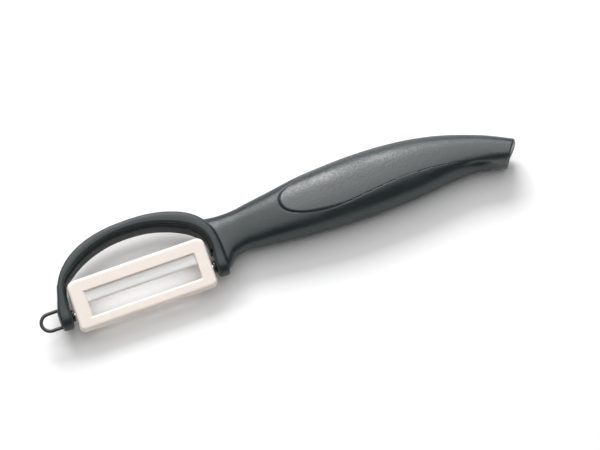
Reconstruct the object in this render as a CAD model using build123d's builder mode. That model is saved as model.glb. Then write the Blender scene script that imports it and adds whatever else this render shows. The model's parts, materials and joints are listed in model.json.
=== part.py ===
from build123d import *
from math import cos, copysign, pi, radians, sin
import os

# Bow-type swivel peeler, lying on its side.
# X runs along the tool from the tip to the tail, Y points to the bow's side, Z is up.
# The origin is under the middle of the whole tool. All sizes are in millimetres.

# ---- overall
overall_length = 190.0
grip_height = 24.4          # tallest part of the grip, in the plane of the bow
grip_depth = 19.0           # thickest part of the grip, panels included

# ---- bow
bow_reach = 27.4            # pivot axis to the top of the bow
bow_depth = 10.8            # across the band at its top
arm_depth = 9.0             # across the arms at the pivots
band_tip = 3.6              # thickness of the tip arm
band_top = 3.9              # thickness of the band at its top
band_neck = 4.7             # thickness of the neck arm
bow_top_offset = 3.0        # top of the bow, past the middle of the carrier
arm_flare = 12.0            # height above the pivots where the arms reach the band's full depth
foot_reach = 1.3            # how far the tip arm's foot stands out towards the loop
foot_rise = 11.0            # height above the pivots where the foot's slope meets the arm's middle
foot_full = 2.0             # height above the pivots where the foot is full

# ---- rib and tang, one piece
rib_proud_tip = 0.3         # how far the rib stands out of the tip arm
rib_proud_top = 1.0         # the same at the bow's top
rib_proud_neck = 0.9        # the same at the neck arm
rib_depth = 7.6
rib_root = 1.2              # how far the rib is let into the band
rib_end = 5.4               # height above the pivots where the rib stops
tang_thickness = 4.0
tang_height = 8.0
tang_length = 52.0
tang_rise = 10.0            # middle of the tang, above the pivots
peg_d = 3.4                 # the pegs that hold the shells together through the tang
peg_clearance = 0.15        # round each peg
peg_spacing = 24.0
peg_first = 18.0            # first peg, past the neck arm
peg_count = 2

# ---- grip shells and panels
shell_wall = 1.9
panel_proud = 0.6
panel_seat = 1.0            # depth of the seat under the panel
cavity_start = 8.0          # past the neck arm
cavity_end = 24.0           # short of the tail
facet_lean = 35.0           # lean of the tail's end face, in degrees
peg_collar = 1.5            # wall of the boss round each peg
socket_depth = 3.0          # of the blind holes in the front shell
peg_length = 7.0
tail_rise = 8.0             # tail's top corner, above the pivots

# ---- carrier and blade
carrier_length = 53.4
carrier_depth = 4.4
carrier_tilt = 19.0         # turn about the pivots, bow side up
bar_reach = 12.2            # pivot axis to the outer edge of the bar on the bow's side
guard_reach = 7.3           # pivot axis to the outer edge of the guard bar
bar_width = 5.0
guard_width = 4.8
cheek_tip = 6.0
cheek_neck = 4.9
bar_corner = 3.0
guard_corner = 1.0
guard_flat = 0.6            # flat left between the guard bar's two rounds
blade_width = 4.5
blade_thickness = 1.2
blade_sink = 1.5            # front of the blade, under the front of the bar
blade_key = 2.2             # how far the blade is let into the bar and the cheeks
edge_bevel = 0.7

# ---- pivots
pin_d = 2.0
pin_running_gap = 0.05      # round the pin, in the carrier
pin_in_carrier = 3.2        # how far each pin reaches into its cheek
pin_in_bush = 3.1           # how far each pin reaches into its arm
pin_chamfer = 0.2
collar_d = 4.6
barrel_d = 3.4
barrel_length = 2.7
collar_gap = 0.3            # between each collar and the carrier
pivot_gap = 1.3             # between each arm and the carrier

# ---- loop at the tip
loop_reach = 8.7
loop_width = 8.0
loop_wire_d = 1.3
loop_root = 2.2             # how far the loop's legs go into the tip arm
loop_rise = 0.5             # middle of the loop, above the pivots

# ---- places, from the sizes above
mid_z = grip_depth / 2
tip_x = -overall_length / 2
tail_x = overall_length / 2
guard_round = carrier_depth / 2
guard_drop = (guard_reach - guard_round) * cos(radians(carrier_tilt)) + guard_round
pivot_y = (guard_drop - bow_reach) / 2
arm_x = tip_x + loop_reach                       # outer face of the tip arm
carrier_x = arm_x + band_tip + pivot_gap         # tip end of the carrier
carrier_end_x = carrier_x + carrier_length
carrier_mid_x = (carrier_x + carrier_end_x) / 2
neck_arm_x = carrier_end_x + pivot_gap           # inner face of the neck arm
neck_x = neck_arm_x + band_neck                  # outer face of the neck arm, where the grip starts
bow_top_x = carrier_mid_x + bow_top_offset
handle_length = tail_x - neck_x
arm_drop = arm_depth / 2                         # the arms end in a half round about the pivots
peg_points = [(neck_x + peg_first + peg_spacing * n, pivot_y + tang_rise) for n in range(peg_count)]

middle = Plane.XY.offset(mid_z)
carrier_plane = Plane(
    origin=(carrier_mid_x, pivot_y, mid_z),
    x_dir=(1, 0, 0),
    z_dir=(0, -sin(radians(carrier_tilt)), cos(radians(carrier_tilt))),
)


def across(x, direction=1):
    """A plane square to the pivot axis at x, centred on the axis."""
    return Plane(origin=(x, pivot_y, mid_z), x_dir=(0, 1, 0), z_dir=(direction, 0, 0))


def superellipse(angle, squareness):
    """A point of a unit superellipse: 2 is round, higher is squarer."""
    x = copysign(abs(cos(angle)) ** (2 / squareness), cos(angle))
    y = copysign(abs(sin(angle)) ** (2 / squareness), sin(angle))
    return x, y


def arch_face(left_x, right_x, height, shape):
    """A filled arch over the pivots, on straight legs, from a shape with half spans and a height of 1."""
    curve = []
    for across_share, up_share in shape:
        half_span = bow_top_x - left_x if across_share < 0 else right_x - bow_top_x
        curve.append((bow_top_x + half_span * across_share, pivot_y + height * up_share))
    with BuildSketch() as arch:
        with BuildLine():
            over = Spline(curve, tangents=((0, 1), (0, -1)))
            Polyline(over @ 1, (right_x, pivot_y - arm_drop), (left_x, pivot_y - arm_drop), over @ 0)
        make_face()
    return arch.sketch


outer_squareness = 2.4      # of the tip side
shoulder_squareness = 3.2   # reached at the neck arm, so that the bow's shoulder is fuller
outer_steps = 12
outer_angles = [pi - pi * step / outer_steps for step in range(outer_steps + 1)]
outer_shape = []
for angle in outer_angles:
    neck_share = max(cos(angle), 0) ** 2
    squareness = outer_squareness + neck_share * (shoulder_squareness - outer_squareness)
    outer_shape.append(superellipse(angle, squareness))
inner_shape = [
    (-1, 0), (-0.997, 0.213), (-0.980, 0.400), (-0.942, 0.536), (-0.835, 0.668), (-0.690, 0.796),
    (-0.532, 0.894), (-0.323, 0.972), (0, 1), (0.260, 0.970), (0.480, 0.902), (0.700, 0.800),
    (0.860, 0.689), (0.960, 0.570), (1.016, 0.451), (1.032, 0.298), (1.012, 0.106), (1, 0),
]


def inner_arch(grow_tip, grow_top, grow_neck):
    """The inside of the band, grown outwards by the amounts given."""
    left_x = arm_x + band_tip - grow_tip
    right_x = neck_arm_x + grow_neck
    return arch_face(left_x, right_x, bow_reach - band_top + grow_top, inner_shape)


outer_arch = arch_face(arm_x, neck_x, bow_reach, outer_shape)
open_arch = inner_arch(0, 0, 0)

# ---- frame_core: the inner rib of the bow and the tang inside the grip
with BuildPart() as frame_core:
    with BuildSketch(middle):
        add(inner_arch(rib_root, rib_root, rib_root))
        add(inner_arch(-rib_proud_tip, -rib_proud_top, -rib_proud_neck), mode=Mode.SUBTRACT)
        with Locations((arm_x, pivot_y + rib_end)):
            Rectangle(2 * handle_length, bow_reach, align=(Align.MIN, Align.MAX), mode=Mode.SUBTRACT)
    extrude(amount=rib_depth / 2, both=True)
    with BuildSketch(middle):
        with Locations((neck_arm_x, pivot_y + tang_rise)):
            Rectangle(band_neck + tang_length, tang_height, align=(Align.MIN, Align.CENTER))
        with Locations(peg_points):
            Circle(peg_d / 2 + peg_clearance, mode=Mode.SUBTRACT)
    extrude(amount=tang_thickness / 2, both=True)
frame_core.part.label = "frame_core"


def pivot_bush(face_x, direction):
    """A collar on the arm's inner face, with a barrel in the arm. direction points to the carrier."""
    with BuildPart() as bush:
        with BuildSketch(across(face_x, direction)):
            Circle(collar_d / 2)
        extrude(amount=pivot_gap - collar_gap)
        with BuildSketch(across(face_x, direction)):
            Circle(barrel_d / 2)
        extrude(amount=-barrel_length)
        with BuildSketch(across(face_x - direction * barrel_length, direction)):
            Circle(pin_d / 2)
        extrude(amount=barrel_length + pivot_gap, mode=Mode.SUBTRACT)
    return bush.part


def pivot_pin(face_x, direction):
    """A round pin that starts in the arm and reaches into the carrier's cheek."""
    with BuildPart() as pin:
        with BuildSketch(across(face_x - direction * pin_in_bush, direction)):
            Circle(pin_d / 2)
        extrude(amount=pin_in_bush + pivot_gap + pin_in_carrier)
        chamfer(pin.edges().filter_by(GeomType.CIRCLE), pin_chamfer)
    return pin.part


tip_face_x = arm_x + band_tip
bush_tip = pivot_bush(tip_face_x, 1)
bush_neck = pivot_bush(neck_arm_x, -1)
pin_tip = pivot_pin(tip_face_x, 1)
pin_neck = pivot_pin(neck_arm_x, -1)

# ---- eye_loop: a wire loop with both legs in the tip arm
loop_r = (loop_width - loop_wire_d) / 2
loop_y = pivot_y + loop_rise
with BuildPart() as eye_loop:
    with BuildLine(middle) as loop_path:
        end_x = tip_x + loop_wire_d / 2 + loop_r
        leg_x = arm_x + loop_root
        lower = Line((leg_x, loop_y - loop_r), (end_x, loop_y - loop_r))
        bend = ThreePointArc(lower @ 1, (end_x - loop_r, loop_y), (end_x, loop_y + loop_r))
        Line(bend @ 1, (leg_x, loop_y + loop_r))
    with BuildSketch(Plane(origin=(leg_x, loop_y - loop_r, mid_z), z_dir=(-1, 0, 0))):
        Circle(loop_wire_d / 2)
    sweep(path=loop_path.line)
eye_loop.part.label = "eye_loop"

# ---- bow_cover: the band with both arms
with BuildPart() as bow_cover:
    with BuildSketch(middle):
        add(outer_arch)
        add(open_arch, mode=Mode.SUBTRACT)
        with BuildLine():
            in_arm_x = arm_x + band_tip / 2
            slope = Line((in_arm_x, pivot_y + foot_rise), (arm_x - foot_reach, pivot_y + foot_full))
            outside = Line(slope @ 1, (arm_x - foot_reach, pivot_y - arm_drop))
            Polyline(outside @ 1, (in_arm_x, pivot_y - arm_drop), slope @ 0)
        make_face()
    extrude(amount=bow_depth / 2, both=True)
    with BuildSketch(Plane.YZ.offset(tip_x)):
        with BuildLine():
            flare_y = pivot_y + arm_flare
            half_arm = arm_depth / 2
            far_y = flare_y + bow_reach
            high = Line((flare_y, mid_z + bow_depth), (far_y, mid_z + bow_depth))
            far = Line(high @ 1, (far_y, mid_z - bow_depth))
            low = Line(far @ 1, (flare_y, mid_z - bow_depth))
            step_low = Line(low @ 1, (flare_y, mid_z - bow_depth / 2))
            taper_low = Line(step_low @ 1, (pivot_y, mid_z - half_arm))
            end = ThreePointArc(taper_low @ 1, (pivot_y - half_arm, mid_z), (pivot_y, mid_z + half_arm))
            taper_high = Line(end @ 1, (flare_y, mid_z + bow_depth / 2))
            Line(taper_high @ 1, high @ 0)
        make_face()
    extrude(amount=overall_length, mode=Mode.INTERSECT)
    add(frame_core.part, mode=Mode.SUBTRACT)
    add(bush_tip, mode=Mode.SUBTRACT)
    add(bush_neck, mode=Mode.SUBTRACT)
    add(pin_tip, mode=Mode.SUBTRACT)
    add(pin_neck, mode=Mode.SUBTRACT)
    add(eye_loop.part, mode=Mode.SUBTRACT)
bow_cover.part.label = "bow_cover"

# ---- grip: stations along the handle, each with its low and high side and its half depth.
# Places run from 0 at the neck arm to 1 at the tail. The low and high sides are measured from the
# pivots and drawn for a grip of station_height, and the half depths for one of station_depth.
station_height = 24.4
station_depth = 19.0
stations = [
    (-0.075, -3.5, 21.9, 5.2),
    (-0.048, -3.4, 20.2, 5.2),
    (-0.010, -3.2, 19.1, 5.3),
    (0.008, -2.4, 18.8, 5.4),
    (0.032, 0.4, 18.6, 5.7),
    (0.060, 1.5, 18.6, 6.0),
    (0.125, 1.2, 19.6, 7.1),
    (0.230, 0.0, 21.2, 8.4),
    (0.350, -1.0, 22.4, 9.2),
    (0.470, -1.4, 23.0, 9.5),
    (0.590, -1.0, 22.6, 9.4),
    (0.690, -0.1, 21.2, 8.9),
    (0.775, 1.1, 19.0, 8.3),
    (0.845, 1.5, 16.3, 7.8),
    (0.915, 0.6, 13.0, 7.4),
    (0.975, -1.0, 9.4, 7.1),
    (1.035, -3.2, 5.4, 6.9),
]
grip_squareness = 2.7
section_points = 20
panel_tip = (0.215, 12.9)
panel_low_edge = [
    (0.222, 9.9), (0.250, 7.1), (0.306, 4.9), (0.383, 3.9), (0.486, 4.9), (0.606, 6.2),
    (0.726, 5.9), (0.829, 4.3), (0.900, 1.8), (0.950, -1.5), (1.000, -6.0),
]
panel_high_edge = [(0.222, 15.4), (0.246, 17.7), (0.290, 20.4), (0.350, 25.0), (0.400, 30.0)]


def on_grip(place, rise):
    """A point in the plane of the bow, from a place along the handle and a rise above the pivots."""
    return neck_x + place * handle_length, pivot_y + rise * grip_height / station_height


def grip_solid(inset):
    """The whole grip, solid, with its surface moved in by inset and its tail cut off at the lean."""
    with BuildPart() as grip:
        for place, low, high, half_depth in stations:
            x, low_y = on_grip(place, low)
            high_y = on_grip(place, high)[1]
            half_z = half_depth * grip_depth / station_depth - inset
            middle_y = (low_y + high_y) / 2
            half_y = (high_y - low_y) / 2 - inset
            points = []
            for step in range(section_points):
                y, z = superellipse(2 * pi * (step + 0.5) / section_points, grip_squareness)
                points.append((middle_y + half_y * y, mid_z + half_z * z))
            with BuildSketch(Plane.YZ.offset(x)):
                with BuildLine():
                    Spline(points, periodic=True)
                make_face()
        loft()
        split(bisect_by=tail_plane, keep=Keep.BOTTOM)
    return grip.part


def panel_prism():
    """The leaf outline of a thumb panel, as a prism through the whole grip."""
    tip = on_grip(*panel_tip)
    with BuildPart() as prism:
        with BuildSketch():
            with BuildLine():
                low_edge = Spline([tip] + [on_grip(*point) for point in panel_low_edge])
                high_edge = Spline([tip] + [on_grip(*point) for point in panel_high_edge])
                Polyline(high_edge @ 1, (tail_x + grip_height, (high_edge @ 1).Y), low_edge @ 1)
            make_face()
        extrude(amount=grip_depth)
    return prism.part


tail_lean = radians(facet_lean)
tail_plane = Plane(origin=(tail_x, pivot_y + tail_rise, mid_z), z_dir=(cos(tail_lean), -sin(tail_lean), 0))
bare_grip = grip_solid(panel_proud)

# ---- panels: one sleeve of even thickness, cut to the leaf outline and split between the two sides
with BuildPart() as panel_sleeve:
    add(grip_solid(0))
    add(grip_solid(panel_proud + panel_seat), mode=Mode.SUBTRACT)
    add(panel_prism(), mode=Mode.INTERSECT)

with BuildPart() as panel_seats:
    add(panel_prism())
    add(grip_solid(panel_proud + panel_seat), mode=Mode.SUBTRACT)

# ---- shell: the hollow grip before it is split
with BuildPart() as hollow:
    add(grip_solid(panel_proud + panel_seat + shell_wall))
    with BuildSketch():
        with Locations((neck_x + cavity_start, pivot_y)):
            cavity_length = handle_length - cavity_start - cavity_end
            Rectangle(cavity_length, 2 * overall_length, align=(Align.MIN, Align.CENTER))
    extrude(amount=grip_depth, mode=Mode.INTERSECT)


def grip_half(piece, side):
    """The half of a grip piece on one side of the middle: side 1 is the front, -1 the back."""
    with BuildPart() as half:
        add(piece)
        with BuildSketch(middle):
            Rectangle(2 * overall_length, 2 * overall_length)
        extrude(amount=side * grip_depth, mode=Mode.INTERSECT)
    return half.part


def shell_half(side):
    """Half the hollow grip, with the seat for its panel and the slot that the core lies in."""
    with BuildPart() as half:
        add(grip_half(bare_grip, side))
        extrude(outer_arch, amount=grip_depth, mode=Mode.SUBTRACT)
        add(grip_half(panel_seats.part, side), mode=Mode.SUBTRACT)
        add(grip_half(hollow.part, side), mode=Mode.SUBTRACT)
        add(frame_core.part, mode=Mode.SUBTRACT)
    return half.part


def peg_discs(level, radius):
    """Circles at the pegs' places, on a level above the middle."""
    with BuildSketch(Plane.XY.offset(mid_z + level)) as discs:
        with Locations(peg_points):
            Circle(radius)
    return discs.sketch


# ---- front shell, with a boss and a blind socket for each peg
half_tang = tang_thickness / 2
boss_r = peg_d / 2 + peg_collar
with BuildPart() as front_bosses:
    extrude(peg_discs(half_tang, boss_r), amount=grip_depth)
    add(grip_solid(panel_proud + panel_seat + shell_wall / 2), mode=Mode.INTERSECT)

with BuildPart() as handle_shell_front:
    add(shell_half(1))
    add(front_bosses.part)
    extrude(peg_discs(half_tang, peg_d / 2 + peg_clearance), amount=socket_depth, mode=Mode.SUBTRACT)
handle_shell_front.part.label = "handle_shell_front"

# ---- back shell, with the pegs that go through the tang
with BuildPart() as back_bosses:
    extrude(peg_discs(-half_tang, boss_r), amount=-grip_depth)
    add(grip_solid(panel_proud + panel_seat + shell_wall / 2), mode=Mode.INTERSECT)

with BuildPart() as handle_shell_back:
    add(shell_half(-1))
    add(back_bosses.part)
    extrude(peg_discs(-half_tang - shell_wall / 2, peg_d / 2), amount=peg_length)
handle_shell_back.part.label = "handle_shell_back"

panel_front = grip_half(panel_sleeve.part, 1)
panel_front.label = "thumb_panel_front"
panel_back = grip_half(panel_sleeve.part, -1)
panel_back.label = "thumb_panel_back"

# ---- ceramic_blade: a strip with one bevelled edge, let into the bar and both cheeks
window_x = -carrier_length / 2 + cheek_tip
window_end_x = carrier_length / 2 - cheek_neck
window_top = bar_reach - bar_width
window_low = guard_width - guard_reach
blade_edge = window_top - blade_width
blade_front = carrier_depth / 2 - blade_sink
with BuildPart() as ceramic_blade:
    with BuildSketch(carrier_plane.offset(blade_front - blade_thickness)):
        with Locations((window_x - blade_key, blade_edge)):
            Rectangle(window_end_x - window_x + 2 * blade_key, blade_width + blade_key, align=Align.MIN)
    extrude(amount=blade_thickness)
    toward_guard = Axis(carrier_plane.origin, -carrier_plane.y_dir)
    front_edge = ceramic_blade.edges().filter_by(Axis.X).group_by(toward_guard)[-1].sort_by(Axis.Z)[-1]
    chamfer(front_edge, edge_bevel)
ceramic_blade.part.label = "ceramic_blade"

# ---- blade_carrier: a frame with a window, with a bar on the bow's side and a rounder guard bar
with BuildPart() as blade_carrier:
    with BuildSketch(carrier_plane) as carrier_outline:
        with Locations((-carrier_length / 2, -guard_reach)):
            Rectangle(carrier_length, bar_reach + guard_reach, align=Align.MIN)
        fillet(carrier_outline.vertices().group_by(Axis.Y)[-1], bar_corner)
        fillet(carrier_outline.vertices().group_by(Axis.Y)[0], guard_corner)
        with Locations((window_x, window_low)):
            Rectangle(window_end_x - window_x, window_top - window_low, align=Align.MIN, mode=Mode.SUBTRACT)
    extrude(amount=carrier_depth / 2, both=True)
    along = blade_carrier.edges().filter_by(Axis.X)
    fillet(along.group_by(toward_guard)[-1], guard_round - guard_flat / 2)
    add(ceramic_blade.part, mode=Mode.SUBTRACT)
    for face_x, inward in [(carrier_x, 1), (carrier_end_x, -1)]:
        with BuildSketch(across(face_x, inward)):
            Circle(pin_d / 2 + pin_running_gap)
        extrude(amount=pin_in_carrier + collar_gap, mode=Mode.SUBTRACT)
blade_carrier.part.label = "blade_carrier"

bush_tip.label = "pivot_bush_tip"
bush_neck.label = "pivot_bush_neck"
pin_tip.label = "pivot_pin_tip"
pin_neck.label = "pivot_pin_neck"

os.makedirs("parts", exist_ok=True)
pieces = [frame_core.part, bow_cover.part, eye_loop.part]
pieces += [handle_shell_front.part, handle_shell_back.part, panel_front, panel_back]
pieces += [blade_carrier.part, ceramic_blade.part, bush_tip, bush_neck, pin_tip, pin_neck]
for piece in pieces:
    export_step(piece, f"parts/{piece.label}.step")
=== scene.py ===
import json
import math

import bmesh
import bpy
import numpy as np
from bpy.props import FloatProperty, FloatVectorProperty, IntProperty, PointerProperty
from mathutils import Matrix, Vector


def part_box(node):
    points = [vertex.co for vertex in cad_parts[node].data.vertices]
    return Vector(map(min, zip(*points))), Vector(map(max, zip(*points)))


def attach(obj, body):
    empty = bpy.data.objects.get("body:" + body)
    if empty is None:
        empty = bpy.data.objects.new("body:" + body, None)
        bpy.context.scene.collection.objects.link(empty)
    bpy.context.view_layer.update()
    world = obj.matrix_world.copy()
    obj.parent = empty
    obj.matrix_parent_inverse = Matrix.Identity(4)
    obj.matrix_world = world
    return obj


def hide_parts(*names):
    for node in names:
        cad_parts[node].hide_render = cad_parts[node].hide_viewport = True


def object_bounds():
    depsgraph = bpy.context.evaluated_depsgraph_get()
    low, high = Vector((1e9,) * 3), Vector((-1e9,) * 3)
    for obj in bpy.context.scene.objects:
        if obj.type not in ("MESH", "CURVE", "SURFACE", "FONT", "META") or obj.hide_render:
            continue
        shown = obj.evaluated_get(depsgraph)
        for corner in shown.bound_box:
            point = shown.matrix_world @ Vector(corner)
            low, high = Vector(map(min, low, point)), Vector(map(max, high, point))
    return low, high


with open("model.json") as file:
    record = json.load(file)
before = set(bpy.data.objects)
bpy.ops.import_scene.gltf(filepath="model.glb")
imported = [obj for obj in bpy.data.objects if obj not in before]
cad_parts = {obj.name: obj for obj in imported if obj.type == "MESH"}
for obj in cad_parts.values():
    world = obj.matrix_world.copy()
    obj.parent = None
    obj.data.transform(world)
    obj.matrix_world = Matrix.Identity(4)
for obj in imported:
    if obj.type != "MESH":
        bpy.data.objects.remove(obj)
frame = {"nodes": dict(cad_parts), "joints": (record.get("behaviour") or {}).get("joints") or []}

bl_info = {
    "name": "Bow Peeler",
    "version": (1, 0, 0),
    "blender": (4, 5, 0),
    "location": "3D View > Sidebar > Peeler",
    "description": "Builds a bow-type swivel peeler round its packed frame",
    "category": "Add Mesh",
}

MM = 0.001
CAD_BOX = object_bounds()

# ---- places and sizes read from the frame, in millimetres

SWIVEL = frame["joints"][0]
PIVOT = Vector(SWIVEL["pos_m"]) / MM


def box_mm(node):
    """Lowest and highest corner of a CAD node, in millimetres."""
    low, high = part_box(node)
    return low / MM, high / MM


BOW_LOW, BOW_HIGH = box_mm("bow_cover")
CORE_LOW, CORE_HIGH = box_mm("frame_core")
PANEL_HIGH = box_mm("thumb_panel_front")[1]
CARRIER_LOW, CARRIER_HIGH = box_mm("blade_carrier")
BLADE_LOW, BLADE_HIGH = box_mm("ceramic_blade")
LOOP_LOW, LOOP_HIGH = box_mm("eye_loop")
MID_Z = PIVOT.z
HANDLE_LENGTH = -LOOP_LOW.x - BOW_HIGH.x
BOW_REACH = BOW_HIGH.y - PIVOT.y
PIVOT_GAP = 1.3         # between an arm and the carrier
TIP_ARM = 3.6           # thickness of the tip arm
INSIDE_BOX = 0.03       # how far a surface is kept inside the CAD box
ARM_X = CARRIER_LOW.x - PIVOT_GAP - TIP_ARM
GRIP_HALF_DEPTH = PANEL_HIGH.z - MID_Z - INSIDE_BOX


# ---- numbers and curves


def smooth(points, at):
    """A smooth curve through (place, value) points, read at the places given."""
    xs, ys = np.array(points, float).T
    slopes = np.gradient(ys, xs)
    at = np.clip(np.asarray(at, float), xs[0], xs[-1])
    index = np.clip(np.searchsorted(xs, at, side="right") - 1, 0, len(xs) - 2)
    span = xs[index + 1] - xs[index]
    t = (at - xs[index]) / span
    value = (2 * t**3 - 3 * t**2 + 1) * ys[index] + (-2 * t**3 + 3 * t**2) * ys[index + 1]
    return value + (t**3 - 2 * t**2 + t) * span * slopes[index] + (t**3 - t**2) * span * slopes[index + 1]


def ease(low, high, at):
    """0 below low, 1 above high, and a smooth step between."""
    t = np.clip((np.asarray(at, float) - low) / (high - low), 0, 1)
    return t * t * (3 - 2 * t)


def bump_at(at, middle, width):
    """A soft hill of height 1."""
    return np.exp(-(((np.asarray(at, float) - middle) / width) ** 2))


def power(value, exponent):
    """A power that keeps its sign."""
    return np.sign(value) * np.abs(value) ** exponent


# ---- meshes


def ladder_mesh(name, rings, closed_ends=True):
    """A mesh of closed rings, given in millimetres. Each ring runs out along one side and back along the
    other, so an end is closed by rungs between the two sides."""
    rings = np.asarray(rings, float)
    count, around = rings.shape[:2]
    mesh = bmesh.new()
    rows = [[mesh.verts.new(Vector(point) * MM) for point in ring] for ring in rings]
    for low, high in zip(rows, rows[1:]):
        for i in range(around):
            j = (i + 1) % around
            mesh.faces.new((low[i], low[j], high[j], high[i]))
    if closed_ends:
        for row in (rows[0], rows[-1]):
            for i in range(around // 2 - 1):
                mesh.faces.new((row[i], row[i + 1], row[around - 2 - i], row[around - 1 - i]))
    return finish_mesh(name, mesh)


def finish_mesh(name, mesh):
    """Clean the mesh, turn its normals out and put it in a new smooth-shaded object."""
    bmesh.ops.remove_doubles(mesh, verts=mesh.verts, dist=0.002 * MM)
    bmesh.ops.dissolve_degenerate(mesh, edges=mesh.edges, dist=0.0005 * MM)
    bmesh.ops.recalc_face_normals(mesh, faces=mesh.faces)
    data = bpy.data.meshes.new(name)
    mesh.to_mesh(data)
    mesh.free()
    data.shade_smooth()
    piece = bpy.data.objects.new(name, data)
    bpy.context.scene.collection.objects.link(piece)
    return piece


def place(piece, body, slot, material, *nodes):
    """Give a piece its material and the body that it rides on, and let it stand for its nodes. The slot
    argument is not used.
    """
    piece.data.materials.append(material)
    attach(piece, body)
    if nodes:
        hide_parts(*nodes)
    return piece


# ---- materials


def moulded_grain_group():
    """Fine spark-eroded grain with soft clouds, as a colour, a roughness and a height."""
    if "MouldedGrain" in bpy.data.node_groups:
        return bpy.data.node_groups["MouldedGrain"]
    group = bpy.data.node_groups.new("MouldedGrain", "ShaderNodeTree")
    sockets = (
        ("Colour", "INPUT", "NodeSocketColor", (0.05, 0.06, 0.06, 1)),
        ("Roughness", "INPUT", "NodeSocketFloat", 0.45),
        ("Grain Size", "INPUT", "NodeSocketFloat", 1800.0),
        ("Cloud Size", "INPUT", "NodeSocketFloat", 60.0),
        ("Colour Spread", "INPUT", "NodeSocketFloat", 0.12),
        ("Roughness Spread", "INPUT", "NodeSocketFloat", 0.12),
        ("Colour", "OUTPUT", "NodeSocketColor", None),
        ("Roughness", "OUTPUT", "NodeSocketFloat", None),
        ("Height", "OUTPUT", "NodeSocketFloat", None),
    )
    for name, side, kind, default in sockets:
        socket = group.interface.new_socket(name, in_out=side, socket_type=kind)
        if default is not None:
            socket.default_value = default
    nodes, links = group.nodes, group.links
    inlet = nodes.new("NodeGroupInput")
    outlet = nodes.new("NodeGroupOutput")
    where = nodes.new("ShaderNodeTexCoord")

    def noise(size_socket, detail, roughness):
        texture = nodes.new("ShaderNodeTexNoise")
        texture.inputs["Detail"].default_value = detail
        texture.inputs["Roughness"].default_value = roughness
        links.new(where.outputs["Object"], texture.inputs["Vector"])
        links.new(inlet.outputs[size_socket], texture.inputs["Scale"])
        return texture.outputs["Fac"]

    def math_node(operation, first, second):
        node = nodes.new("ShaderNodeMath")
        node.operation = operation
        for socket, value in zip(node.inputs, (first, second)):
            if isinstance(value, (int, float)):
                socket.default_value = value
            else:
                links.new(value, socket)
        return node.outputs[0]

    grain = noise("Grain Size", 2.0, 0.6)
    cloud = noise("Cloud Size", 4.0, 0.55)
    centred = math_node("SUBTRACT", cloud, 0.5)
    shade = math_node("ADD", 1.0, math_node("MULTIPLY", centred, inlet.outputs["Colour Spread"]))
    mottle = math_node("MULTIPLY", math_node("SUBTRACT", grain, 0.5), inlet.outputs["Colour Spread"])
    scale = nodes.new("ShaderNodeVectorMath")
    scale.operation = "SCALE"
    links.new(inlet.outputs["Colour"], scale.inputs[0])
    links.new(math_node("ADD", shade, mottle), scale.inputs["Scale"])
    links.new(scale.outputs[0], outlet.inputs["Colour"])
    rough = math_node("MULTIPLY", math_node("ADD", centred, math_node("SUBTRACT", grain, 0.5)),
                      inlet.outputs["Roughness Spread"])
    links.new(math_node("ADD", inlet.outputs["Roughness"], rough), outlet.inputs["Roughness"])
    links.new(grain, outlet.inputs["Height"])
    return group


def plastic(name, colour, roughness, grain_size, grain_depth, cloud_size=60.0, colour_spread=0.15,
            roughness_spread=0.12, coat=0.0, subsurface=0.0, specular=0.5, ior=1.5):
    """A moulded plastic or ceramic: the shared grain feeds its colour, roughness and bump."""
    material = bpy.data.materials.new(name)
    material.use_nodes = True
    nodes, links = material.node_tree.nodes, material.node_tree.links
    shader = nodes["Principled BSDF"]
    grain = nodes.new("ShaderNodeGroup")
    grain.node_tree = moulded_grain_group()
    values = (("Colour", (*colour, 1)), ("Roughness", roughness), ("Grain Size", grain_size),
              ("Cloud Size", cloud_size), ("Colour Spread", colour_spread),
              ("Roughness Spread", roughness_spread))
    for socket, value in values:
        grain.inputs[socket].default_value = value
    relief = nodes.new("ShaderNodeBump")
    relief.inputs["Strength"].default_value = 0.5
    relief.inputs["Distance"].default_value = grain_depth * MM
    links.new(grain.outputs["Colour"], shader.inputs["Base Color"])
    links.new(grain.outputs["Roughness"], shader.inputs["Roughness"])
    links.new(grain.outputs["Height"], relief.inputs["Height"])
    links.new(relief.outputs["Normal"], shader.inputs["Normal"])
    shader.inputs["IOR"].default_value = ior
    shader.inputs["Specular IOR Level"].default_value = specular
    shader.inputs["Coat Weight"].default_value = coat
    shader.inputs["Coat Roughness"].default_value = 0.25
    shader.inputs["Subsurface Weight"].default_value = subsurface
    shader.inputs["Subsurface Scale"].default_value = 1.5 * MM
    shader.inputs["Subsurface Radius"].default_value = (1.0, 0.7, 0.5)
    return material


def turned_steel(name):
    """Bright steel with fine turning rings along the pin."""
    material = bpy.data.materials.new(name)
    material.use_nodes = True
    nodes, links = material.node_tree.nodes, material.node_tree.links
    shader = nodes["Principled BSDF"]
    shader.inputs["Base Color"].default_value = (0.62, 0.62, 0.61, 1)
    shader.inputs["Metallic"].default_value = 1.0
    where = nodes.new("ShaderNodeTexCoord")
    rings = nodes.new("ShaderNodeTexWave")
    rings.bands_direction = "X"
    rings.inputs["Scale"].default_value = 2500.0
    rings.inputs["Distortion"].default_value = 1.5
    spread = nodes.new("ShaderNodeMapRange")
    spread.inputs["To Min"].default_value = 0.22
    spread.inputs["To Max"].default_value = 0.38
    relief = nodes.new("ShaderNodeBump")
    relief.inputs["Strength"].default_value = 0.2
    relief.inputs["Distance"].default_value = 0.01 * MM
    links.new(where.outputs["Object"], rings.inputs["Vector"])
    links.new(rings.outputs["Fac"], spread.inputs["Value"])
    links.new(spread.outputs["Result"], shader.inputs["Roughness"])
    links.new(rings.outputs["Fac"], relief.inputs["Height"])
    links.new(relief.outputs["Normal"], shader.inputs["Normal"])
    return material


# ---- settings


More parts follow.
